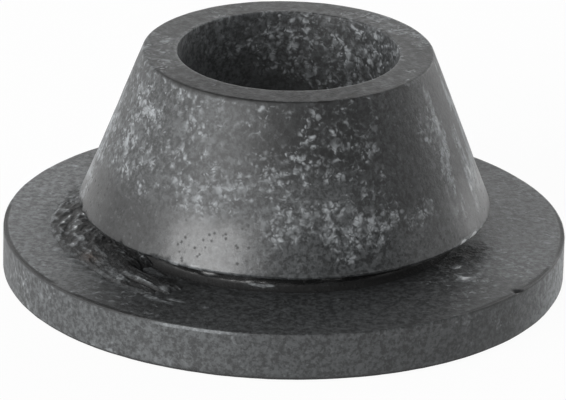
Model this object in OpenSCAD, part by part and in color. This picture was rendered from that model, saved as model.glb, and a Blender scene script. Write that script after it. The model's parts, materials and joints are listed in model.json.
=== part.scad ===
// Tapered rubber grommet: a round flange, a groove that grips the edge of a
// panel, and a cone that is pushed through the panel's hole. One bore runs
// through all three. The underside of the flange is at z = 0, the bore is on Z.

/* [Flange] */
// Diameter of the flange that stays in front of the panel
flange_d = 51; // [44:0.5:64]
// Thickness of the flange
flange_t = 4.6; // [3.6:0.1:8]
// Rounding of the flange's lower edge
flange_lower_round = 0.8; // [0.3:0.05:1.6]
// Rounding of the flange's upper edge
flange_upper_round = 0.15; // [0.05:0.05:1.2]

/* [Panel groove] */
// Diameter of the neck at the bottom of the groove
neck_d = 31; // [27:0.25:33]
// Width of the groove, for a panel of this thickness
groove_w = 2.3; // [1.6:0.1:6]
// Fillet in the two corners at the bottom of the groove
groove_fillet = 0.4; // [0.1:0.05:0.6]

/* [Cone] */
// Diameter of the cone at its base, over the groove
cone_d = 37.4; // [36:0.1:42]
// Diameter of the flat rim at the top of the cone
rim_d = 26.2; // [24:0.1:32]
// Height of the cone, from its base to the rim
cone_h = 14.7; // [8:0.1:28]
// Rounding of the lip at the base of the cone
lip_round = 0.25; // [0.05:0.05:0.8]
// Rounding of the rim's outer edge
rim_round = 0.3; // [0.05:0.05:0.6]

/* [Bore] */
// Diameter of the bore
bore_d = 20; // [12:0.25:22]
// Rounding of the bore's edges at both ends
bore_round = 0.2; // [0.05:0.05:0.35]

/* [Hidden] */
$fn = 180;
// Height of the cone's base and of the whole grommet
cone_z = flange_t + groove_w;
total_h = cone_z + cone_h;
// The section from the bore's lower end outwards and up, and back over the rim:
// distance from the axis, height, rounding of that corner
CORNERS = [
    [bore_d / 2, 0, bore_round],
    [flange_d / 2, 0, flange_lower_round],
    [flange_d / 2, flange_t, flange_upper_round],
    [neck_d / 2, flange_t, groove_fillet],
    [neck_d / 2, cone_z, groove_fillet],
    [cone_d / 2, cone_z, lip_round],
    [rim_d / 2, total_h, rim_round],
    [bore_d / 2, total_h, bore_round]
];
LAST = len(CORNERS) - 1;

// Place of corner i, counted round the outline in a ring
function corner(i) = let (c = CORNERS[(i + LAST + 1) % (LAST + 1)]) [c.x, c.y];
// Unit step from corner i towards its neighbour j
function towards(i, j) = (corner(j) - corner(i)) / norm(corner(j) - corner(i));
// Half of the angle between the two sides that meet at corner i
function half_angle(i) = acos(towards(i, i - 1) * towards(i, i + 1)) / 2;
// Point where the rounding of corner i runs out on the side to neighbour j
function run_out(i, j) = corner(i) + towards(i, j) * CORNERS[i].z / tan(half_angle(i));
// Middle line of corner i, between its two sides
function bisector(i) = towards(i, i - 1) + towards(i, i + 1);
// Centre of the rounding of corner i
function round_centre(i) = corner(i)
    + bisector(i) / norm(bisector(i)) * CORNERS[i].z / sin(half_angle(i));
// True where the outline turns inwards, as at the bottom of the groove
function is_hollow(i) = cross(towards(i, i - 1), towards(i, i + 1)) > 0;

// The circles that round either the outer or the hollow corners
module rounds(hollow) {
    for (i = [0:LAST])
        if (is_hollow(i) == hollow)
            translate(round_centre(i))
                circle(r = CORNERS[i].z);
}

// Half section of the grommet: straight sides between the roundings, with each
// outer corner filled by its circle and each hollow corner cut by its circle
module section() {
    difference() {
        union() {
            polygon([for (i = [0:LAST], j = [i - 1, i + 1]) run_out(i, j)]);
            rounds(false);
        }
        rounds(true);
    }
}

// The whole grommet, moulded in one piece
module grommet() {
    color([0.27, 0.28, 0.28])
        rotate_extrude()
            section();
}

grommet();
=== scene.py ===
# %% [markdown]
# # A tapered rubber grommet
#
# The object is one moulding of dark rubber: a round flange, a groove that grips
# the edge of a panel, a cone that is pushed through the panel's hole, and a bore
# through all of it. The frame gives the true sizes. This lesson works the skin of
# the same form out as one surface, so that it can carry what a bare solid of
# revolution cannot: moulding unevenness, torn flash and bloom.

import json
from math import cos, pi, radians, sin

import bpy
import numpy as np
from mathutils import Matrix, Vector


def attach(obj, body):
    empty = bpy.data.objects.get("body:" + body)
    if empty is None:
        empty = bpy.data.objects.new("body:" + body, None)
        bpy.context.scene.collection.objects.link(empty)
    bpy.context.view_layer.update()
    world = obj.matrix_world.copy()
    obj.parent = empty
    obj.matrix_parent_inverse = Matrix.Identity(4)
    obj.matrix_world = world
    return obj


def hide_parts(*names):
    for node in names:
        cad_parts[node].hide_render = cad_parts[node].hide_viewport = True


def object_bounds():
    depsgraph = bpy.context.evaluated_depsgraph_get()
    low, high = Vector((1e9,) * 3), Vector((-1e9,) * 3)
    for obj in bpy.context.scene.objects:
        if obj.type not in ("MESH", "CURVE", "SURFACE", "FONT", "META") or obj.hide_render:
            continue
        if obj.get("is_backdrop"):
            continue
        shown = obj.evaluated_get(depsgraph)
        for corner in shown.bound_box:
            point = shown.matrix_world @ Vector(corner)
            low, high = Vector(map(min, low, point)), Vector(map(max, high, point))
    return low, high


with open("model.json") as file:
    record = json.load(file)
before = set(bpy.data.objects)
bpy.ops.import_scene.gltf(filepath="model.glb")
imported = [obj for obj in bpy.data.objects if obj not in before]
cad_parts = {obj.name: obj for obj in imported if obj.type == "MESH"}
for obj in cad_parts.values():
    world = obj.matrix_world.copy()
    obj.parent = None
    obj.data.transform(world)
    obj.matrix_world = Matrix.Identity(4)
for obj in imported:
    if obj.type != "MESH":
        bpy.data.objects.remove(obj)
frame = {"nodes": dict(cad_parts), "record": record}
cad_low, cad_high = (list(corner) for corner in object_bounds())
print("frame from", cad_low, "to", cad_high)

# %% [markdown]
# ## Sizes from the frame
#
# The skin has to sit on the solid that it stands for. Sizes typed in here would be
# wrong as soon as the solid changed, so they are read from it. The mounts in the
# record give the bore, the flange's face and the middle of the groove. The rest is
# measured on the solid's own vertices, each seen as a distance from the axis and
# a height. Everything is in millimetres until a mesh is written.

# %% Measure the frame
MM = 0.001


def rings_of(node):
    """Distance from the axis and height of every vertex of a node, in mm."""
    mesh = frame["nodes"][node].data
    flat = np.empty(len(mesh.vertices) * 3, np.float32)
    mesh.vertices.foreach_get("co", flat)
    points = flat.reshape(-1, 3).astype(float) / MM
    return np.hypot(points[:, 0], points[:, 1]), points[:, 2]


mounts = {mount["name"]: mount for mount in frame["record"]["mounts"]}
BORE_R = mounts["bore"]["dims"]["r_mm"]
FACE_Z = mounts["panel_face"]["pos_m"][2] / MM
GROOVE_MID_Z = mounts["panel_groove"]["pos_m"][2] / MM
CONE_Z = 2 * GROOVE_MID_Z - FACE_Z
FLANGE_R = cad_high[0] / MM
TOP_Z = cad_high[2] / MM

ring_r, ring_z = rings_of("grommet")
in_groove = (ring_z > FACE_Z + 0.1) & (ring_z < CONE_Z - 0.1) & (ring_r > BORE_R + 1)
NECK_R = ring_r[in_groove].min()
on_slope = (ring_z > CONE_Z + 1) & (ring_z < TOP_Z - 1) & (ring_r > BORE_R + 1)
slope, offset = np.polyfit(ring_z[on_slope], ring_r[on_slope], 1)
LIP_R = slope * CONE_Z + offset
RIM_R = slope * TOP_Z + offset
print(f"bore {BORE_R:.2f}, neck {NECK_R:.2f}, lip {LIP_R:.2f}, rim {RIM_R:.2f}")
print(f"face {FACE_Z:.2f}, cone from {CONE_Z:.2f} to {TOP_Z:.2f}, flange {FLANGE_R:.2f}")

# %% [markdown]
# ## The outline of the section
#
# A moulding has no truly sharp edge. The section is drawn as straight sides
# between corners, and each corner is replaced by an arc that touches both sides.
# A bevel modifier could do this on a finished mesh, but the arcs worked out here
# have the radii that the solid has, and the rows of the surface can be set close
# together where fine detail will sit.

# %% Corners
# The side that starts here, distance from the axis, height, rounding, and how many
# rows the side has after its arc. The outline runs outwards below and comes back
# over the rim.
CORNERS = [
    ("underside", BORE_R, 0.0, 0.2, 12),
    ("wall", FLANGE_R, 0.0, 0.8, 24),
    ("face", FLANGE_R, FACE_Z, 0.18, 62),
    ("neck", NECK_R, FACE_Z, 0.4, 18),
    ("lip_under", NECK_R, CONE_Z, 0.4, 8),
    ("cone", LIP_R, CONE_Z, 0.25, 50),
    ("rim", RIM_R, TOP_Z, 0.3, 12),
    ("bore", BORE_R, TOP_Z, 0.2, 22),
]
print("corners:", len(CORNERS))

# %% Arc at a corner
ARC_ROWS = 5


def unit(vector):
    """The vector divided by its own length."""
    return vector / np.linalg.norm(vector)


def arc_at(before, corner, after, radius):
    """Points of the arc that rounds a corner: the circle of that radius that
    touches both sides, walked from the touching point on one to the other."""
    to_before, to_after = unit(before - corner), unit(after - corner)
    half = np.arccos(np.clip(to_before @ to_after, -1, 1)) / 2
    centre = corner + unit(to_before + to_after) * radius / np.sin(half)
    first = corner + to_before * radius / np.tan(half) - centre
    last = corner + to_after * radius / np.tan(half) - centre
    share = np.linspace(0, 1, ARC_ROWS)[:, None]
    walk = first * (1 - share) + last * share
    return centre + walk / np.linalg.norm(walk, axis=1, keepdims=True) * radius


trial = arc_at(np.array([0.0, 1.0]), np.array([0.0, 0.0]), np.array([1.0, 0.0]), 0.5)
print("a square corner rounded by 0.5 starts at", trial[0].round(2), "and ends at", trial[-1].round(2))

# %% Rows of the section
# Share of the face's rows, and share of its width that they have then covered
# on the way in from the edge: the torn band gets the finest rows.
FACE_SPACING = [(0, 0.12, 0.31, 0.86, 1), (0, 0.09, 0.45, 0.86, 1)]
# The wall's rows crowd towards its upper edge: 1 - (1 - share) to this power.
WALL_CROWDING = 1.7


def outline(corners):
    """The closed section as rows of (distance from axis, height), with the name
    of the side that each row belongs to. An arc belongs to the side after it,
    and a side's rows are start * (1 - share) + end * share."""
    spots = np.array([[r, z] for _, r, z, _, _ in corners])
    arcs = [
        arc_at(spots[i - 1], spots[i], spots[(i + 1) % len(spots)], corners[i][3])
        for i in range(len(spots))
    ]
    rows, names = [], []
    for i, (name, _, _, _, steps) in enumerate(corners):
        start, end = arcs[i][-1], arcs[(i + 1) % len(arcs)][0]
        share = np.linspace(0, 1, steps + 2)[1:-1, None]
        if name == "face":
            share = np.interp(share, *FACE_SPACING)
        if name == "wall":
            share = 1 - (1 - share) ** WALL_CROWDING
        straight = start * (1 - share) + end * share
        rows += [arcs[i], straight]
        names += [name] * (ARC_ROWS + steps)
    return np.vstack(rows), np.array(names)


section, side_name = outline(CORNERS)
around_next = np.roll(section, -1, axis=0) - np.roll(section, 1, axis=0)
around_next /= np.linalg.norm(around_next, axis=1, keepdims=True)
section_normal = np.stack([around_next[:, 1], -around_next[:, 0]], axis=1)
print("rows in the section:", len(section))

# %% [markdown]
# ## Columns round the axis
#
# Equal steps round the axis would be simplest, but the torn edges lie on one side
# of the flange, and one small nick in its edge is finer still. So the columns are
# packed closer at those two places. Their density is written as a function of the
# angle, and its running sum is turned round to give the columns. Angles count from
# +X over +Y, in degrees, so the front is at -90.

# %% Angles and soft steps
def apart(angle, middle):
    """Degrees from a middle to an angle, the short way round: the difference
    brought into -180 to 180 by taking away whole turns."""
    return (angle - middle + 180) % 360 - 180


def ramp(value, low, high):
    """0 below low, 1 above high, and the S-curve 3t^2 - 2t^3 between them."""
    t = np.clip((value - low) / (high - low), 0, 1)
    return t * t * (3 - 2 * t)


print("from 170 to -170 it is", apart(-170, 170), "degrees, and the curve's middle is", ramp(5, 0, 10))

# %% Columns
COLUMNS = 400
TORN_MIDDLE = -165.0
TORN_HALF, TORN_DENSER = 50.0, 0.8
NICK_PLACE = (20.9, -14.15)
NICK_ANGLE = np.degrees(np.arctan2(NICK_PLACE[1], NICK_PLACE[0]))
NICK_HALF, NICK_DENSER = 1.5, 2.5


def column_angles():
    """Angles of the columns: the inverse of the running sum of their density,
    which is 1 plus an extra share at the tear and another at the nick."""
    fine = np.linspace(-180, 180, 7201)
    from_tear, from_nick = np.abs(apart(fine, TORN_MIDDLE)), np.abs(apart(fine, NICK_ANGLE))
    density = 1 + TORN_DENSER * (1 - ramp(from_tear, TORN_HALF, TORN_HALF + 12))
    density += NICK_DENSER * (1 - ramp(from_nick, NICK_HALF, NICK_HALF + 3.5))
    spent = np.concatenate([[0], np.cumsum((density[1:] + density[:-1]) / 2)])
    return np.interp(np.arange(COLUMNS) / COLUMNS * spent[-1], spent, fine)


angle = column_angles()
print("finest column step:", round(np.diff(angle).min(), 2), "degrees")

# %% [markdown]
# ## Unevenness in numbers
#
# Moulded rubber is never quite true: it shrinks unevenly and takes every mark of
# its mould. The lumps are lattice noise: random numbers on the corners of cubes,
# blended between them. Several sizes added together look like a cast surface. A
# displace modifier could do the same, but here the height is known to the script
# and the finish can be tied to it.

# %% Lumps
LATTICE = 32


def lumps(points, size, seed):
    """Smooth random numbers from -1 to 1 at points (..., 3). Space is cut into
    cubes of that size, each cube corner holds a random number, and inside a cube
    the eight are blended along each axis with the S-curve 3t^2 - 2t^3."""
    table = np.random.default_rng(seed).uniform(-1, 1, (LATTICE,) * 3)
    scaled = points / size
    cell = np.floor(scaled).astype(int)
    t = scaled - cell
    t = t * t * (3 - 2 * t)
    total = 0
    for corner in np.ndindex(2, 2, 2):
        weight = np.prod(np.where(np.array(corner), t, 1 - t), axis=-1)
        index = (cell + np.array(corner)) % LATTICE
        total = total + weight * table[index[..., 0], index[..., 1], index[..., 2]]
    return total


trial_line = np.linspace(0, 9, 400)[:, None] * np.ones(3)
trial = lumps(trial_line, 1.0, 5)
print("lumps along a line: from", trial.min().round(2), "to", trial.max().round(2))


# %% Layers and flakes
def layered(points, size, seed, layers=3):
    """Lumps of a size, plus lumps half that size at half the height, and so on."""
    return sum(lumps(points, size / 2**k, seed + k) / 2**k for k in range(layers))


def flaked(points, size, seed, layers=3):
    """Flat flakes round zero with steep edges: 0.8 times the layered lumps pressed
    through a narrow S-curve, plus 0.2 times the lumps themselves, minus 0.4."""
    lump = layered(points, size, seed, layers)
    return 0.8 * ramp(lump, -0.14, 0.14) + 0.2 * lump - 0.4


trial = flaked(trial_line, 1.0, 5)
print("share of flat flakes:", round(float((np.abs(trial) > 0.3).mean()), 2))

# %% [markdown]
# ## Grid of the skin
#
# The section is carried round the axis on a grid of rows and columns. A Screw
# modifier would do that too. Here each point is later moved off this true surface,
# so the places, the angle and the kind of side are kept as whole arrays that every
# formula can use.

# %% Grid of the skin
turn = np.radians(angle)[None, :]
base_r = section[:, 0][:, None] + 0 * turn
base_z = section[:, 1][:, None] + 0 * turn
around = angle[None, :] + 0 * base_r
base = np.stack([base_r * np.cos(turn), base_r * np.sin(turn), base_z], axis=-1)
out_r, out_z = section_normal[:, 0][:, None], section_normal[:, 1][:, None]
side = {name: (side_name == name)[:, None] * np.ones_like(base_r) for name, *_ in CORNERS}
print("grid:", base.shape[:2], "triangles:", 2 * base.shape[0] * base.shape[1])


# %% Places on the grid
def along(stretch):
    """Places (arc length / stretch, distance from the axis, height) for noise
    that is drawn out round the axis. The arc length is the angle times LIP_R."""
    arc = np.radians(apart(around, TORN_MIDDLE)) * LIP_R
    return np.stack([arc / stretch, base_r, base_z], axis=-1)


def lobe(middle, half):
    """1 at an angle, falling softly to 0: e to the minus (degrees from the middle
    / half width)^4."""
    return np.exp(-((apart(around, middle) / half) ** 4))


print("share of the turn in a lobe of 20 degrees:", round(float(lobe(-90, 20).mean()), 2))

# %% [markdown]
# ## The skin
#
# On the real part every mark is a small change of the moulded surface. The faces
# are slightly wavy and carry a fine tooth. Remains of a rib of flash run round the
# foot of the neck. The flange is scuffed at the right, as if it had been forced
# there, and its upper edge has a nick and a broken line where the mould's halves
# met. The lip is ragged where film was torn off it. Sculpting could make these by
# hand. A formula keeps each mark at a stated place, and the finish can use it again.
# All marks are added up as one height in millimetres, and each point is moved by it
# along the section's normal.

# %% Torn and scuffed places
TORN_FROM, TORN_TO = -45.0, 43.0
SCUFF_MIDDLE, SCUFF_HALF = -26.0, 16.0
SCUFF_R, SCUFF_WIDE = 17.6, 1.9
TEAR_REACH_R = 22.8

from_torn = apart(around, TORN_MIDDLE)
torn_end = ramp(from_torn, TORN_TO - 3, TORN_TO + 1)
torn_share = ramp(from_torn, TORN_FROM, TORN_FROM + 4) * (1 - torn_end)
near_tear = torn_share * ramp(TEAR_REACH_R - base_r, 0, 3) * side["face"]
tear_flakes = flaked(along(1.4), 0.55, 83)

scuffed = lobe(SCUFF_MIDDLE, SCUFF_HALF) * np.exp(-(((base_r - SCUFF_R) / SCUFF_WIDE) ** 4))
scuff_flakes = 0.6 * flaked(along(1.5), 0.8, 61) + 0.5 * flaked(along(1.2), 0.4, 63)
print("points near the tear:", int((near_tear > 0.5).sum()))

# %% Remains of flash round the neck
# Middle angle, half width in degrees, height over the flange's face in mm, and
# how much of the rib is left.
REMAINS = [
    (-127, 4.0, 1.1, 0.9),
    (-115, 3.0, 0.75, 0.6),
    (-97, 5.0, 0.5, 1.1),
    (-74, 3.5, 0.5, 0.4),
]
RIB_HALF = 0.2

ragged_z = base_z - FACE_Z + 0.14 * layered(along(1.0), 1.0, 57)


def remains(middle, half, up, much):
    """One stretch of the rib, within an angle: how much is left, times e to the
    minus (distance from its height / RIB_HALF)^2."""
    return much * lobe(middle, half) * np.exp(-(((ragged_z - up) / RIB_HALF) ** 2))


rib = np.max([remains(*row) for row in REMAINS], axis=0) * side["neck"]
print("stretches of rib left on the neck:", len(REMAINS))

# %% Nick, parting line and ragged lip
# Half sizes in mm, the line's distance from the flange's edge, and how deep bites
# in the lip go where it is torn and elsewhere.
NICK_LONG, NICK_WIDE = 0.5, 0.3
SEAM_INSET, SEAM_HALF = 0.3, 0.14
LIP_HALF = 0.35
TORN_BITE, OTHER_BITE = 0.28, 0.06

nick_along = (base[..., 0] - NICK_PLACE[0]) / NICK_LONG
nick_across = (base[..., 1] - NICK_PLACE[1]) / NICK_WIDE
nick_shape = np.exp(-(nick_along**4) - nick_across**2) * side["face"]

broken = 0.2 + 0.8 * ramp(lumps(along(3.0), 0.9, 93), -0.4, 0.2)
seam = np.exp(-(((base_r - FLANGE_R + SEAM_INSET) / SEAM_HALF) ** 2)) * side["face"]
seam = seam * broken * (lobe(-154, 42) + lobe(-24, 32))

to_lip = np.hypot(base_r - LIP_R, base_z - CONE_Z)
bite = TORN_BITE * torn_share + OTHER_BITE
ragged_lip = np.exp(-((to_lip / LIP_HALF) ** 2)) * bite
ragged_lip = ragged_lip * ramp(layered(along(1.2), 0.8, 67), 0.0, 0.9)
print("deepest bite in the lip:", round(ragged_lip.max(), 2), "mm")

# %% Relief of the skin
# Heights and depths in mm. The whole skin lies a little inside the solid, so that
# its waves stay within the part's true size.
SUNK = 0.03
WAVE, TOOTH = 0.035, 0.010
FLARE, FLARE_TALL = 0.05, 3.5
NICK_DEEP, SEAM_DEEP = 0.22, 0.14
SCUFF_ROUGH, TEAR_ROUGH, NECK_ROUGH = 0.1, 0.1, 0.04
RIB_PROUD = 0.1

slow = WAVE * layered(base, 9.0, 11)
tooth = TOOTH * layered(base, 0.9, 23)
flare = FLARE * side["cone"] * (1 - ramp(base_z, CONE_Z + 0.2, CONE_Z + FLARE_TALL))
scuffs = scuffed * SCUFF_ROUGH * scuff_flakes * side["face"]
rough_neck = NECK_ROUGH * side["neck"] * flaked(along(1.6), 0.6, 65)

height = slow + flare + tooth - SUNK - ragged_lip - NICK_DEEP * nick_shape - SEAM_DEEP * seam
height = height + scuffs + RIB_PROUD * rib + rough_neck + TEAR_ROUGH * near_tear * tear_flakes
skin_r = np.clip(base_r + out_r * height, None, FLANGE_R)
skin_z = np.clip(base_z + out_z * height, 0, TOP_Z)
skin = np.stack([skin_r * np.cos(turn), skin_r * np.sin(turn), skin_z], axis=-1)
print("relief from", round(height.min(), 2), "to", round(height.max(), 2), "mm")

# %% [markdown]
# ## Where the bloom lies
#
# Old rubber sweats out wax and sulphur, which dry as a pale bloom. It was rubbed
# off again in places, so the cone has mottled patches between clean ones, and at
# the right it has run down in streaks. The patches could be painted on an image by
# hand. Here each is a soft oval in angle and height, so its numbers can be changed,
# and the finish later breaks the ovals up into flecks.

# %% Patches of bloom
# Middle angle, middle height, half width in degrees, half height in mm, strength.
PATCHES = [
    (-150, 18.9, 9, 1.6, 1.2),
    (-151, 14.2, 15, 2.2, 0.9),
    (-175, 16.0, 12, 4.0, 0.8),
    (177, 13.5, 11, 5.5, 2.0),
    (-118, 18.0, 15, 2.0, 0.55),
    (-113, 13.6, 15, 2.6, 0.95),
    (-94, 15.1, 9, 1.6, 0.8),
    (-87, 16.2, 10, 1.8, 0.65),
    (-88, 11.6, 13, 1.8, 1.05),
    (-75, 10.8, 6, 1.1, 1.1),
    (-66, 11.4, 16, 2.8, 0.95),
    (-48, 10.5, 6, 1.4, 0.6),
    (-63, 16.4, 10, 1.0, 0.3),
    (-41, 10.9, 4, 0.9, 1.3),
    (-20, 15.3, 9, 3.8, 1.7),
    (-17, 11.4, 8, 2.2, 1.3),
    (-5, 14.8, 13, 5.0, 1.3),
    (4, 13.5, 9, 6.0, 1.3),
    (18, 14.0, 20, 5.0, 0.9),
    (75, 13.0, 30, 5.5, 0.8),
    (130, 15.0, 24, 4.5, 0.9),
]

wobble = 4.0 * layered(base, 3.0, 71)
sway = layered(base, 2.4, 73)


def patch(middle, up, wide, tall, strength):
    """A soft oval: strength times e to the minus (distance from its middle)^2,
    with the distance counted in half widths and half heights."""
    away = np.hypot(apart(around + wobble, middle) / wide, (base_z + sway - up) / tall)
    return strength * np.exp(-(away**2))


ovals = np.max([patch(*row) for row in PATCHES], axis=0)
print("patches of bloom:", len(PATCHES))

# %% Bloom on every side
# In the bore: angles with the height that the bloom reaches down to, and angles
# with its strength.
BORE_LOW = [(0, 60, 90, 130, 180), (12, 13.5, 15, 17.5, 19.5)]
BORE_MUCH = [(-40, 5, 60, 110, 165, 180), (0.15, 0.57, 0.58, 0.48, 0.36, 0.15)]
# The streaks are lumps on a cylinder of this radius, drawn out so many times
# downwards.
STREAK_R, STREAK_LONG = 16, 4.5

faint = 0.36 + 0.1 * ramp(apart(around, -110), 10, -20)
high_up = faint * ramp(base_z, 10.2, 13.0) * (1 - 0.7 * lobe(-46, 9))
run_down = np.stack([np.radians(around) * STREAK_R, 0 * base_z, base_z / STREAK_LONG], axis=-1)
run_lumps = layered(run_down, 0.85, 75)
runs = ramp(run_lumps, -0.05, 0.3)
streaky = lobe(-7, 21)
streaks = 1 - streaky + streaky * (0.06 + 1.55 * runs)
on_cone = np.maximum(ovals, high_up) * streaks * side["cone"]

in_bore = side["bore"] * ramp(base_z - np.interp(around, *BORE_LOW), -1.5, 1.5)
in_bore = in_bore * np.interp(around, *BORE_MUCH)
# Less bloom at the front of the rim, as painted shade there.
rim_side = 1 - 0.75 * np.exp(-((apart(around, -95) / 48) ** 2))
on_rim = side["rim"] * rim_side * (0.2 + 0.5 * ramp(layered(base, 3.0, 77), 0.0, 0.6))
by_side = lobe(-178, 62) + lobe(0, 55)
on_flange = (side["face"] + 0.8 * side["wall"] + side["underside"]) * (0.16 + 0.22 * by_side)
bloom = on_cone + in_bore + on_rim + on_flange
print("share of the cone under bloom:", round(float((on_cone > 0.3).sum() / side["cone"].sum()), 2))

# %% [markdown]
# ## Smooth, raw, pale and dark places
#
# Bloom alone doesn't tell the finish what the rubber under it is like. Four more numbers ride along
# with each point. Smooth is how glossy the mould left the skin, as on the clean band at the cone's
# base. Raw is how dull it is where it tore or was scuffed. The third number is above zero where dust
# makes raised places pale and where highlights are painted, and below zero where shade is painted, in
# pits, hollows, notches, the groove and fine lines, which are dark. The fourth is a factor on the
# rubber's grey that paints light and shade over whole faces, with some random mottle on the rim. A
# painted mask could hold them too, but here they reuse the shapes of the relief, so a mark has its
# colour exactly where it has its form.

# %% Smooth and raw
# Height of the painted shade along the foot of the flange's wall, in mm: a dark band at its bottom
# edge, where it meets the floor.
FOOT_TALL = 0.42

base_band = 1 - ramp(base_z + 0.9 * layered(base, 4.0, 79), 9.5, 12.5)
fillet = side["neck"] * (1 - ramp(base_z, FACE_Z + 0.3, FACE_Z + 0.7))
foot_shade = np.exp(-((base_z / FOOT_TALL) ** 2)) * (base_r > FLANGE_R - 1.5)
glossy_neck = (side["neck"] - fillet) * (1 - rib) * (1 - lobe(-138, 12))
smooth = side["cone"] * base_band + 1.5 * glossy_neck - 1.0 * fillet - 1.2 * foot_shade
worn_rim = 0.6 * side["rim"] * lobe(-95, 50)
raw = 0.7 * near_tear + scuffed * side["face"] + side["lip_under"] + worn_rim + fillet + foot_shade
raw = np.clip(raw, 0, 1)
print("points that are raw:", int((raw > 0.5).sum()))

# %% Pale flecks and streaks on the flange
fleck_place = lobe(-32, 7) * np.exp(-(((base_r - 18.9) / 1.6) ** 4))
flecks = fleck_place * ramp(lumps(along(1.0), 0.85, 97), 0.05, 0.3)
scratch_place = lobe(-120, 5) * np.exp(-(((base_r - 20.9) / 0.6) ** 4))
scratches = scratch_place * ramp(lumps(along(2.2), 0.5, 99), 0.0, 0.35)
# The scuffs are darker, as painted shade under the lip, and pale and dark along their relief as
# painted light and shade; the flecks and scratches are pale bits of dust.
scuff_shade_and_flecks = scuffed * (0.65 * scuff_flakes - 0.36) * (1 - fleck_place * 0.6)
scuff_shade_and_flecks = (scuff_shade_and_flecks + 1.9 * flecks + 1.3 * scratches) * side["face"]
print("points in pale flecks:", int((scuff_shade_and_flecks > 0.5).sum()))

# %% Fine lines of painted shade and light along the edges
LINE_HALF = 0.17


def painted_edge_line(radius, height, middle, half):
    """A fine, slightly wandering line along an edge, within an angle: e to the
    minus (distance from the edge / LINE_HALF)^2."""
    off = np.hypot(base_r - radius, base_z - height) + 0.04 * lumps(along(3.0), 0.8, 87)
    return np.exp(-((off / LINE_HALF) ** 2)) * lobe(middle, half)


# Dark lines of painted shade just below the flange's edge at the left and the right and along the
# rim's outer edge at the front left, and a pale line of painted highlight below the flange's edge at
# the front.
steps = 0.9 * painted_edge_line(FLANGE_R, FACE_Z - 0.1, -154, 42)
steps = steps + 0.8 * painted_edge_line(FLANGE_R, FACE_Z - 0.1, -20, 30)
steps = steps - 1.1 * painted_edge_line(FLANGE_R, FACE_Z - 0.2, -108, 10)
steps = steps + 0.8 * painted_edge_line(RIM_R - 0.06, TOP_Z - 0.06, -118, 38)
print("points on dark lines:", int((steps > 0.3).sum()))

# %% Lit lip
# A painted highlight on the ragged lip's outer edge, where it catches the light, in broken stretches.
LIT_HALF = 0.22

over_lip = np.hypot(base_r - LIP_R + 0.1, base_z - CONE_Z - 0.22) + 0.12 * lumps(along(1.0), 0.7, 89)
lit_places = lobe(-25.5, 10) + 0.45 * lobe(-115, 12)
lit_broken = 0.4 + 0.6 * ramp(lumps(along(1.0), 0.5, 95), -0.3, 0.2)
lit_lip = 2.6 * np.exp(-((over_lip / LIT_HALF) ** 2)) * lit_places * lit_broken
print("points on the lit lip:", int((lit_lip > 0.5).sum()))

# %% Crests and pits: painted light and shade, and dust
run_spots = 0.3 + 1.0 * ramp(lumps(base, 0.55, 107), -0.25, 0.3)
run_crest = (0.75 * runs + 0.6 * ramp(run_lumps, 0.25, 0.75)) * run_spots - 0.35
run_place = lobe(-15, 15) * side["cone"] * ramp(base_z, 8, 10)

# Pale where dust lies, in the flecks, scratches and runs of bloom, and where highlights are painted:
# on the rib's stretches, the lit lip and the raised parts of the torn and scuffed relief. Dark where
# shade is painted: at the foot of the wall, along the edge lines, in the lip's bites, the nick and the
# seam's notch, in the hollows of the relief, in the scuffs under the lip and on the neck in the
# groove.
painted_light_and_dust = 1.0 * rib + scuff_shade_and_flecks - 0.9 * foot_shade - 2.0 * ragged_lip - steps + lit_lip
painted_light_and_dust = painted_light_and_dust - 2.0 * nick_shape - 1.6 * seam + 0.9 * near_tear * (tear_flakes - 0.05)
painted_light_and_dust = painted_light_and_dust - side["neck"] * 0.62 * (1 - rib) + run_place * run_crest
print("crests from", round(painted_light_and_dust.min(), 2), "to", round(painted_light_and_dust.max(), 2))

# %% Tone: painted light and shade
# A factor on the rubber's grey that paints light and shade. The flange's face is lighter at the sides,
# where more light falls, and darker at the front left and front right, as the cone's painted shade.
# The wall is lighter at the front left and, as a painted reflection, towards its right. The rim is
# darker, most at the front, with some random mottle. The bore is lighter at the left and darker at the
# back. The cone is darker low at the front left, higher up at the front right and high at the front.
# The neck and the lip's underside are darker, as painted shade in the groove.
face_painted_light = 1.4 * lobe(178, 44) + 1.1 * lobe(11, 41) - 0.4 * lobe(-126, 16) - 0.3 * lobe(-38, 9)
wall_painted_light = 0.4 * lobe(-136, 36) + 3.8 * ramp(apart(around, -42), 0, 38) * lobe(10, 70)
rim_shade_and_mottle = 0.25 + 0.35 * lobe(-95, 50) + 0.6 * lumps(base, 0.45, 91)
bore_painted_light = 1.1 * lobe(165, 50) - 0.4 * lobe(80, 50)
cone_painted_shade = 0.7 * lobe(-150, 28) * (1 - ramp(base_z, 10, 13))
cone_painted_shade = cone_painted_shade + 0.4 * lobe(-50, 17) * ramp(base_z, 9.0, 12)
cone_painted_shade = cone_painted_shade + 0.7 * lobe(-84, 22) * ramp(base_z, 14, 17)

painted_light_and_mottle = 1 + side["face"] * face_painted_light + side["wall"] * wall_painted_light - side["rim"] * rim_shade_and_mottle
painted_light_and_mottle = painted_light_and_mottle - side["cone"] * cone_painted_shade + side["bore"] * bore_painted_light
painted_light_and_mottle = painted_light_and_mottle - 0.7 * side["neck"] - 0.7 * side["lip_under"]
print("tone from", round(painted_light_and_mottle.min(), 2), "to", round(painted_light_and_mottle.max(), 2))

# %% [markdown]
# ## Writing the mesh
#
# A mesh could be built point by point, but Blender also takes whole arrays, which
# is much faster. The coordinates go in with foreach_set and the faces come from the
# grid's own numbering, closed in both directions, so the skin has no seam and no
# pole. The order of each face's corners makes it point outwards.

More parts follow.
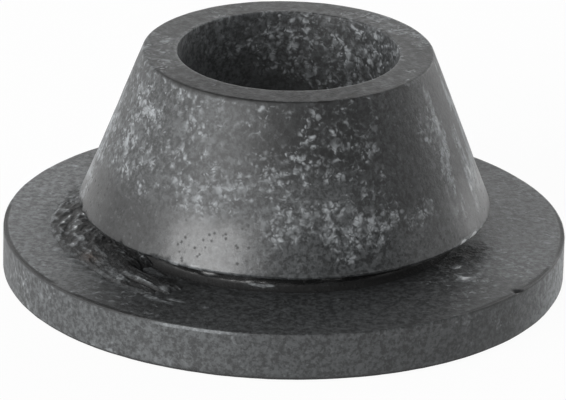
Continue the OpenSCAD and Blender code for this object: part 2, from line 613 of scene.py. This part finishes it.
# %% Write the skin as a mesh
def grid_mesh(name, points, numbers, ring=True):
    """A piece from a grid (rows, columns, 3) in mm. Point (row, column) has the
    number row * columns + column, and each face joins it to its neighbours. The
    rows always close into a loop, the columns only where ring is true. Each named
    number per point is kept as an attribute of the mesh."""
    rows, columns = points.shape[:2]
    index = np.arange(rows * columns).reshape(rows, columns)
    below, right = np.roll(index, -1, axis=0), np.roll(index, -1, axis=1)
    corner = np.roll(below, -1, axis=1)
    faces = np.stack([index, right, corner, below], axis=-1)
    faces = (faces if ring else faces[:, :-1]).reshape(-1, 4)
    mesh = bpy.data.meshes.new(name)
    mesh.vertices.add(rows * columns)
    mesh.vertices.foreach_set("co", (points * MM).astype(np.float32).ravel())
    mesh.loops.add(faces.size)
    mesh.loops.foreach_set("vertex_index", faces.astype(np.int32).ravel())
    mesh.polygons.add(len(faces))
    mesh.polygons.foreach_set("loop_start", np.arange(0, faces.size, 4, dtype=np.int32))
    mesh.polygons.foreach_set("use_smooth", np.ones(len(faces), bool))
    mesh.update(calc_edges=True)
    for key, values in numbers.items():
        attribute = mesh.attributes.new(key, "FLOAT", "POINT")
        attribute.data.foreach_set("value", values.astype(np.float32).ravel())
    mesh.validate()
    piece = bpy.data.objects.new(name, mesh)
    bpy.context.scene.collection.objects.link(piece)
    return piece


# The stain lies on the torn flash alone, so the skin carries it as zero.
numbers = {
    "bloom": bloom,
    "smooth": smooth,
    "raw": raw,
    "painted_light_and_dust": painted_light_and_dust,
    "painted_light_and_mottle": painted_light_and_mottle,
    "stain": 0 * painted_light_and_mottle,
}
grommet_skin = grid_mesh("grommet_skin", skin, numbers)
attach(grommet_skin, "root")
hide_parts("grommet")
print("faces of the skin:", len(grommet_skin.data.polygons))

# %% [markdown]
# ## Torn flash
#
# Rubber creeps between the halves of its mould and leaves a thin film, the flash.
# On this part the film under the lip looks torn off by hand. From the left side to
# the front left its ragged remains fill the foot of the groove and lie on the
# flange. It belongs to the same moulding, but needs a much finer grid than the
# skin, so it is a second surface. Its top is a height over the flange's face, made
# of crests and pits drawn out round the axis, the way rubber tears. Where that
# height is below zero the flash dips under the skin, so its outline is as ragged
# as its surface. Its bottom and both its ends lie inside the flange. Loose chips
# scattered there would also do, but they'd look laid on, and this grows out.

# %% Grid of the torn flash
FLASH_COLUMNS, FLASH_ROWS = 640, 140
FLASH_SUNK = -0.35
FLASH_OUT_R = 22.6
# Degrees from the middle of the tear, and how far out the flash reaches, in mm.
REACH = [(-46, -36, -30, -20, 0, 25, 35, 48), (20.3, 20.9, 21.8, 21.3, 21.0, 20.9, 21.2, 20.6)]

flash_angles = np.linspace(TORN_FROM - 4, TORN_TO + 8, FLASH_COLUMNS)
flash_from = flash_angles[None, :] + np.zeros((FLASH_ROWS, 1))
flash_r = np.linspace(FLASH_OUT_R, NECK_R + 0.02, FLASH_ROWS)[:, None] + 0 * flash_from
flash_arc = np.radians(flash_from) * LIP_R


def flow(stretch):
    """Places (arc length / stretch, distance from the axis - 0.12 * arc length, 0)
    for noise that is drawn out round the axis and swept a little outwards."""
    swept = flash_r - 0.12 * flash_arc
    return np.stack([flash_arc / stretch, swept, 0 * flash_r], axis=-1)


wander = layered(flow(2.0), 2.4, 31)
reach_r = np.interp(flash_from, *REACH)
inwards = reach_r + 0.5 * wander - flash_r
ends = flash_from + 2.5 * lumps(flow(1.0), 0.9, 35)
inside = ramp(ends, TORN_FROM - 3, TORN_FROM + 1) * (1 - ramp(ends, TORN_TO - 1.5, TORN_TO + 3))
on = inside * ramp(inwards, -0.5, 0.7)
open_groove = ramp(flash_from, 22, 33) * (1 - ramp(flash_r, 17.2, 18.1))
print("points of the flash:", flash_r.size)

# %% Crests and pits of the tear
# Degrees from the middle of the tear, and how full the groove's foot is, in mm.
FILL = [(-42, -30, -12, 10, 24, 36, 50), (0.05, 0.1, 0.2, 0.4, 0.5, 0.4, 0.2)]

drawn = ramp(flash_from, 0, 24)
big = 0.7 * layered(flow(2.2), 1.0, 41) * (1 - drawn) + flaked(flow(4.0), 1.1, 42) * drawn
mid = 1.1 * lumps(flow(2.2), 0.38, 43) * (1 - drawn) + flaked(flow(2.6), 0.6, 44) * drawn
fine = 0.9 * lumps(flow(1.8), 0.24, 47)
slope_down = np.interp(flash_from, *FILL) * (1 - ramp(flash_r, LIP_R - 1.2, reach_r + 0.2))
calm = np.clip(0.3 + inwards / 1.6, 0.2, 1) * (1 - 0.5 * drawn)
tear = calm * (0.13 * big + 0.05 * mid + 0.025 * fine)
print("tear from", round(tear.min(), 2), "to", round(tear.max(), 2), "mm")

# %% Ridge at the end of the tear
# Degrees from the middle of the tear, and the ridge's distance from the axis.
RIDGE = [(28, 37, 43, 49), (19.0, 19.25, 19.5, 19.85)]
RIDGE_HALF = 0.13

ridge_on = ramp(flash_from, 25, 31) * (1 - ramp(flash_from, 42, 46))
ridge_off = flash_r - np.interp(flash_from, *RIDGE) - 0.08 * lumps(flow(1.0), 1.1, 53)
ridge_wear = 0.6 + 0.8 * flaked(flow(2.2), 0.5, 55)
ridge = ridge_on * ridge_wear * np.exp(-((ridge_off / RIDGE_HALF) ** 2))
ridge_foot = ridge_on * np.exp(-(((ridge_off - 0.38) / RIDGE_HALF) ** 2))

rise = slope_down + tear * (1 - 0.4 * ridge) + 0.1 * ridge - 0.16 * ridge_foot + 0.05
top = rise - 0.5 * (1 - on) - 1.2 * open_groove
top = np.clip(top, FLASH_SUNK, CONE_Z - FACE_Z - 0.12)
print("torn flash: highest", round(top.max(), 2), "mm, above the face", round((top > 0).mean(), 2))

# %% Build the torn flash
# The flat bottom needs few rows: one for every twelve of the top.
BOTTOM_STEP = 12

flash_turn = np.radians(flash_from + TORN_MIDDLE)
at_end = np.isin(np.arange(FLASH_COLUMNS), (0, FLASH_COLUMNS - 1))
top = np.where(at_end, FLASH_SUNK, top)


def flash_points(radii, heights, angles):
    """Points in mm: radius * cosine, radius * sine, and the flange's face plus the
    height."""
    return np.stack([radii * np.cos(angles), radii * np.sin(angles), FACE_Z + heights], axis=-1)


upper = flash_points(flash_r, top, flash_turn)
lower_r = flash_r[::-BOTTOM_STEP][:-1]
lower = flash_points(lower_r, FLASH_SUNK + 0 * lower_r, flash_turn[::-BOTTOM_STEP][:-1])
flash = np.concatenate([upper, lower])


def with_bottom(values):
    """Numbers of the top, with zeros for the rows of the bottom."""
    return np.concatenate([values, np.zeros(lower.shape[:2])])


# Painted light and shade on the flash: its crests are pale and its hollows dark along its relief, with
# dust; its ridge is pale as a painted highlight with a dark line of painted shadow at its foot; it is
# darker under the lip's overhang and where the groove opens.
under_lip_shade = 0.5 * (1 - ramp(flash_r, LIP_R - 0.4, LIP_R + 1.3))
flash_light_and_dust = calm * (0.5 * big + 1.4 * mid + 1.15 * fine) + ridge * (0.35 + 0.8 * mid)
flash_light_and_dust = flash_light_and_dust - 1.6 * ridge_foot - under_lip_shade - 0.2 - 0.8 * open_groove
stain = np.exp(-(np.hypot((flash_from - 13) / 3.2, (flash_r - 19.6) / 0.6) ** 2))
numbers = {
    "bloom": with_bottom(0.25 + 0 * top),
    "smooth": with_bottom(0 * top),
    "raw": with_bottom(1.0 + 0 * top),
    "painted_light_and_dust": with_bottom(flash_light_and_dust),
    "painted_light_and_mottle": with_bottom(1.0 + 0 * top),
    "stain": with_bottom(stain),
}
torn_flash = grid_mesh("torn_flash", flash, numbers, ring=False)
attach(torn_flash, "root")
print("faces of the flash:", len(torn_flash.data.polygons))

# %% [markdown]
# ## Writing a finish
#
# A finish is a small program of shader nodes. They could be placed and joined by
# hand in the shader editor, where a large tree soon gets hard to follow. In a script
# two helpers keep it readable. A value that flows between nodes is wrapped so that
# Python's own signs add the Math nodes, and every other node comes from one method.

# %% A value that flows between nodes
class Flow:
    """An output socket that can be added, taken away and multiplied. Each sign
    adds a Math node that does the same to the two values beside it."""

    def __init__(self, finish, socket):
        self.finish, self.socket = finish, socket

    def __add__(self, other):
        return self.finish.maths("ADD", self, other)

    def __radd__(self, other):
        return self.finish.maths("ADD", other, self)

    def __sub__(self, other):
        return self.finish.maths("SUBTRACT", self, other)

    def __rsub__(self, other):
        return self.finish.maths("SUBTRACT", other, self)

    def __mul__(self, other):
        return self.finish.maths("MULTIPLY", self, other)

    def __rmul__(self, other):
        return self.finish.maths("MULTIPLY", other, self)


print("a flow answers to + - and *, from the left and from the right")


# %% A finish and its nodes
class Finish:
    """A material and the nodes in it."""

    def __init__(self, name):
        self.material = bpy.data.materials.new(name)
        self.material.use_nodes = True
        self.tree = self.material.node_tree
        self.tree.nodes.clear()

    def add(self, kind, settings=None, inputs=None, output=0):
        """A node of a kind, its settings first and then its sockets' values or
        links, and the output that is wanted from it."""
        node = self.tree.nodes.new("ShaderNode" + kind)
        for key, value in (settings or {}).items():
            setattr(node, key, value)
        for key, value in (inputs or {}).items():
            if isinstance(value, Flow):
                self.tree.links.new(value.socket, node.inputs[key])
            else:
                node.inputs[key].default_value = value
        return Flow(self, node.outputs[output]) if node.outputs else None

    def maths(self, operation, first, second):
        """A Math node: first and second joined by the operation."""
        return self.add("Math", {"operation": operation}, {0: first, 1: second})

    def number(self, name):
        """A number that the mesh carries at each point."""
        return self.add("Attribute", {"attribute_name": name}, output="Fac")

    def noise(self, place, scale, detail=2.0, distortion=0.0):
        """Soft random values round one half, with scale lumps to a millimetre."""
        inputs = {"Vector": place, "Scale": scale, "Detail": detail, "Distortion": distortion}
        return self.add("TexNoise", {}, inputs, "Fac")

    def between(self, value, low, high, start=0.0, end=1.0):
        """Start at low, end at high, and the S-curve 3t^2 - 2t^3 between them."""
        inputs = {0: value, 1: low, 2: high, 3: start, 4: end}
        return self.add("MapRange", {"interpolation_type": "SMOOTHSTEP"}, inputs)

    def blend(self, share, first, second):
        """A colour: first * (1 - share) + second * share."""
        inputs = {0: share, 6: first, 7: second}
        return self.add("Mix", {"data_type": "RGBA"}, inputs, 2)


moulded = Finish("moulded_rubber")
print("finish begun:", moulded.material.name)

# %% [markdown]
# ## Moulded rubber
#
# Rubber filled with carbon black is very dark and mirrors a little light at its skin. The bloom on it
# is paler and duller, and lies in flecks. A picture of an old surface could be wrapped round the part,
# but it would blur close up and meet itself in a seam. Noise that is worked out at each point does
# neither. So the bloom is drawn as soft dots, one to a cell, in two sizes, and as blots of a noise,
# and all of it shows only where the bloom's number says so. The glossy band at the cone's base has
# pinholes instead. Where the rubber tore, crests are pale with dust and painted highlights, and pits
# and hollows are almost black with painted shade; the same dark and pale colours paint shade and
# highlights along edges, in the groove and on the lip. A bump node adds the finest roughness alone,
# because every larger form is already in the mesh.

# %% Cells with dots
def cells_of(place, scale):
    """Distance from the middle of the nearest cell, and that cell's own random
    number. There are about scale cells to a millimetre."""
    distance = moulded.add("TexVoronoi", {}, {"Vector": place, "Scale": scale}, "Distance")
    return distance, Flow(moulded, distance.socket.node.outputs["Color"])


def dots(place, amount, scale, size):
    """Soft dots, one to a cell: an S-curve from 1 in the middle to 0 at the size.
    A cell has its dot where its random number + 0.95 * amount is near 1."""
    distance, chance = cells_of(place, scale)
    there = moulded.between(chance + amount * 0.95, 0.88, 1.04)
    return moulded.between(distance, size, 0.0) * there


def pinholes(place, scale, size, missing):
    """Small round spots, one to a cell: an S-curve from 1 at 0.3 of the size to 0
    at the size. Cells whose random number is below missing have none."""
    distance, chance = cells_of(place, scale)
    there = moulded.between(chance, missing, missing + 0.05)
    return moulded.between(distance, size, size * 0.3) * there


metres = moulded.add("TexCoord", output="Object")
place = moulded.add("VectorMath", {"operation": "SCALE"}, {0: metres, "Scale": 1 / MM}, 0)
print("nodes so far:", len(moulded.tree.nodes))

# %% Bloom in flecks
BEND = 1.1


def pale_bloom(bloom):
    """How pale the bloom is: the largest of two sizes of dots and some blots, times
    a slow change of force, times how much bloom the point's number asks for. Faint
    specks lie everywhere, and a number above 0.9 adds an even film."""
    haze = moulded.between(moulded.noise(place, 0.33, 3.0), 0.25, 0.75)
    amount = moulded.between(bloom + (haze - 0.5) * 0.3, 0.05, 0.95)
    drift = moulded.add("TexNoise", {}, {"Vector": place, "Scale": 1.3, "Detail": 1.0}, "Color")
    bend = {0: drift, 1: (BEND, BEND, BEND), 2: place}
    bent = moulded.add("VectorMath", {"operation": "MULTIPLY_ADD"}, bend)
    large, small = dots(bent, amount, 1.5, 0.56), dots(bent, amount, 2.3, 0.54)
    scarce = (1.0 - amount) * 0.12
    blots = moulded.between(moulded.noise(place, 1.5, 2.5, 0.5) - scarce, 0.46, 0.68)
    cover = moulded.maths("MAXIMUM", large, small * 0.9)
    cover = moulded.maths("MAXIMUM", cover, blots * 0.8)
    force = moulded.between(moulded.noise(place, 0.9, 2.0), 0.34, 0.66, 0.15, 1.15)
    specks = moulded.between(moulded.noise(place, 2.6, 1.0), 0.6, 0.74)
    excess = moulded.maths("MAXIMUM", bloom - 0.9, 0.0)
    asked = moulded.between(amount, 0.02, 0.4) + excess
    return cover * force * asked + specks * 0.12 + excess * 0.25


pale = pale_bloom(moulded.number("bloom"))
print("nodes so far:", len(moulded.tree.nodes))

# %% Colour of the rubber
RUBBER_DARK = (0.0195, 0.0205, 0.0211, 1)
RUBBER_PALE = (0.0580, 0.0612, 0.0630, 1)
BLOOM = (0.262, 0.276, 0.286, 1)
# Almost black, for pinholes and for painted shade.
PIT_AND_SHADE = (0.008, 0.008, 0.008, 1)
STAIN = (0.062, 0.043, 0.034, 1)
# Near white, for chalky dust and for painted glints on the lip.
CHALK_AND_GLINT = (0.62, 0.64, 0.65, 1)

grain = moulded.noise(place, 7.0, 1.0)
clouds = moulded.noise(place, 3.2, 2.0)
dust = moulded.between(moulded.noise(place, 3.1, 3.0), 0.35, 0.75)
gloss = moulded.number("smooth")
pits = pinholes(place, 1.7, 0.33, 0.4) * gloss * 0.8


def rubber_shade():
    """Two greys blended by three noises, times a factor that paints light and shade. Over them lie,
    each by its own share, the bloom, the stain, the pinholes, dark pits and painted shade, pale crests
    with dust and painted highlights, and chalk with painted glints on the highest crests."""
    mottle = clouds * 0.45 + grain * 0.2 + moulded.noise(place, 1.5, 1.0) * 0.35
    bare = moulded.blend(moulded.between(mottle, 0.4, 0.6), RUBBER_DARK, RUBBER_PALE)
    lit_and_shaded = {0: bare, "Scale": moulded.number("painted_light_and_mottle")}
    shade = moulded.blend(pale, moulded.add("VectorMath", {"operation": "SCALE"}, lit_and_shaded, 0), BLOOM)
    shade = moulded.blend(moulded.number("stain") * 0.7, shade, STAIN)
    shade = moulded.blend(pits * 0.8, shade, PIT_AND_SHADE)
    painted_light_and_dust = moulded.number("painted_light_and_dust")
    # Below zero the number paints shade almost black; above zero it paints dust and highlights pale,
    # and glints chalk-white at the highest.
    shade = moulded.blend(moulded.between(painted_light_and_dust, -0.1, -0.65) * 0.85, shade, PIT_AND_SHADE)
    shade = moulded.blend(moulded.between(painted_light_and_dust, 0.1, 0.7) * (0.2 + dust * 0.5), shade, BLOOM)
    return moulded.blend(moulded.between(painted_light_and_dust, 1.0, 1.7), shade, CHALK_AND_GLINT)


shade = rubber_shade()
print("nodes so far:", len(moulded.tree.nodes))

# %% Roughness, bump and surface
ROUGHNESS = 0.56
RUBBER_IOR = 1.5
BUMP_DEEP = 0.00004

torn = moulded.number("raw")
rough = ROUGHNESS + pale * 0.16 - gloss * 0.23 + torn * 0.14
rough = rough + (grain - 0.5) * (gloss * 0.15 + 0.1) + pits * 0.3
relief = pale * 0.5 + (grain * 0.3 + clouds * 0.6) * (1.0 - gloss * 0.75) + dust * torn * 0.8
bump = moulded.add("Bump", {}, {"Strength": 1.0, "Distance": BUMP_DEEP, "Height": relief})
surface = moulded.add(
    "BsdfPrincipled",
    {},
    {"Base Color": shade, "Roughness": rough, "IOR": RUBBER_IOR, "Normal": bump},
)
moulded.add("OutputMaterial", {}, {"Surface": surface})
for piece in (grommet_skin, torn_flash):
    piece.data.materials.append(moulded.material)
print("nodes of the rubber:", len(moulded.tree.nodes))

# %% [markdown]
# ## Studio
#
# Dark rubber shows its form mostly by what it mirrors at a low angle: soft panels
# that stand round the part, a brighter one at the front left, one overhead at the
# front, and a dim room. A single sun or a picture of a room would also light it, but
# rectangular soft boxes do it with few settings, and their light is even enough
# that a colour renders about as it is written.

# %% World
DIM = 0.07


def studio_world():
    """An even, dim room: white light of strength DIM from everywhere."""
    world = bpy.data.worlds.new("studio")
    world.use_nodes = True
    background = world.node_tree.nodes["Background"]
    background.inputs["Color"].default_value = (1, 1, 1, 1)
    background.inputs["Strength"].default_value = DIM
    bpy.context.scene.world = world


studio_world()
print("room's brightness:", DIM)

# %% Lamps
LAMP_DISTANCE = 1.5
# Name, azimuth, elevation, width, height in metres, brightness of the panel.
LAMPS = [
    ("key", -134, 16, 1.2, 0.75, 9.3),
    ("front_top", -90, 48, 1.0, 1.0, 1.5),
    ("left", -180, 15, 1.0, 1.0, 1.9),
    ("back_left", 135, 15, 1.0, 1.0, 2.2),
    ("back", 90, 15, 1.0, 1.0, 2.05),
    ("back_right", 45, 15, 1.0, 1.0, 4.3),
    ("right", 0, 15, 1.0, 1.0, 0.9),
]


def soft_panel(name, azimuth, elevation, width, height, brightness):
    """A rectangular lamp on a sphere round the part, facing its middle. It lies in
    the direction (cos e cos a, cos e sin a, sin e), and its power is pi times its
    area times its brightness, so 1 is as bright as white paper."""
    light = bpy.data.lights.new(name + "_lamp", "AREA")
    light.shape = "RECTANGLE"
    light.size, light.size_y = width, height
    light.energy = pi * width * height * brightness
    lamp = bpy.data.objects.new(light.name, light)
    a, e = radians(azimuth), radians(elevation)
    away = Vector((cos(e) * cos(a), cos(e) * sin(a), sin(e)))
    bpy.context.scene.collection.objects.link(lamp)
    lamp.location = away * LAMP_DISTANCE + Vector((0, 0, TOP_Z * MM / 2))
    lamp.rotation_euler = away.to_track_quat("Z", "Y").to_euler()


for row in LAMPS:
    soft_panel(*row)
print("lamps:", len(LAMPS))

# %% [markdown]
# ## Floor
#
# The part stands on a white table. A plain white plane would need far more light to
# look white, which would also bleach the part. So a ray from the camera, a mirror or
# glass sees the floor mostly as bare white, and all other rays find a matt floor.

# %% Floor
FLOOR_HALF = 3.0
BARE_WHITE = 0.95


def floor_finish():
    """Matt paint * (1 - share) + bare white * share. The share is BARE_WHITE where
    a ray comes from the camera, a mirror or glass, and 0 elsewhere."""
    finish = Finish("white_floor")
    camera_ray = finish.add("LightPath", output="Is Camera Ray")
    glossy_ray = finish.add("LightPath", output="Is Glossy Ray")
    clear_ray = finish.add("LightPath", output="Is Transmission Ray")
    seen = finish.maths("MAXIMUM", finish.maths("MAXIMUM", camera_ray, glossy_ray), clear_ray)
    paint = finish.add("BsdfDiffuse", {}, {"Color": (0.85, 0.85, 0.85, 1)})
    white = finish.add("Emission", {}, {"Color": (1, 1, 1, 1), "Strength": 1.0})
    mixed = finish.add("MixShader", {}, {0: seen * BARE_WHITE, 1: paint, 2: white})
    finish.add("OutputMaterial", {}, {"Surface": mixed})
    return finish.material


half = FLOOR_HALF
floor_corners = [(-half, -half, 0), (half, -half, 0), (half, half, 0), (-half, half, 0)]
floor_mesh = bpy.data.meshes.new("floor")
floor_mesh.from_pydata(floor_corners, [], [(0, 1, 2, 3)])
floor = bpy.data.objects.new("floor", floor_mesh)
bpy.context.scene.collection.objects.link(floor)
floor_mesh.materials.append(floor_finish())
floor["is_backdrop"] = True
print("floor:", 2 * FLOOR_HALF, "m wide")

# %% [markdown]
# ## Camera
#
# The part is seen from in front and a little above, with a long lens from far away,
# which leaves almost no perspective. The camera could be set by hand in the view.
# Here its distance, aim and width of view count in flange radii, so it would frame
# a larger grommet the same way.

# %% Camera
# Degrees, and then lengths in flange radii.
CAMERA_ELEVATION = 21.71
CAMERA_ROLL = 1.43
CAMERA_DISTANCE = 24.0
TARGET_X = -0.0061
TARGET_Z = 0.278
VIEW_WIDTH = 2.0119


def add_camera():
    """A long lens that looks along +Y and down, turned slightly about its axis.
    Its focal length is sensor width * distance / width of view."""
    data = bpy.data.cameras.new("camera")
    camera = bpy.data.objects.new("camera", data)
    bpy.context.scene.collection.objects.link(camera)
    unit_length = FLANGE_R * MM
    e = radians(CAMERA_ELEVATION)
    target = Vector((TARGET_X * unit_length, 0, TARGET_Z * unit_length))
    back = Vector((0, -cos(e), sin(e)))
    stand = target + back * CAMERA_DISTANCE * unit_length
    roll = Matrix.Rotation(radians(CAMERA_ROLL), 3, "Z")
    facing = back.to_track_quat("Z", "Y").to_matrix() @ roll
    camera.matrix_world = Matrix.Translation(stand) @ facing.to_4x4()
    data.sensor_width = 36.0
    data.lens = data.sensor_width * CAMERA_DISTANCE / VIEW_WIDTH
    data.clip_start, data.clip_end = 0.01, 20
    bpy.context.scene.camera = camera
    return data


camera_data = add_camera()
bpy.context.scene.view_settings.view_transform = "Standard"
print("lens:", round(camera_data.lens), "mm")
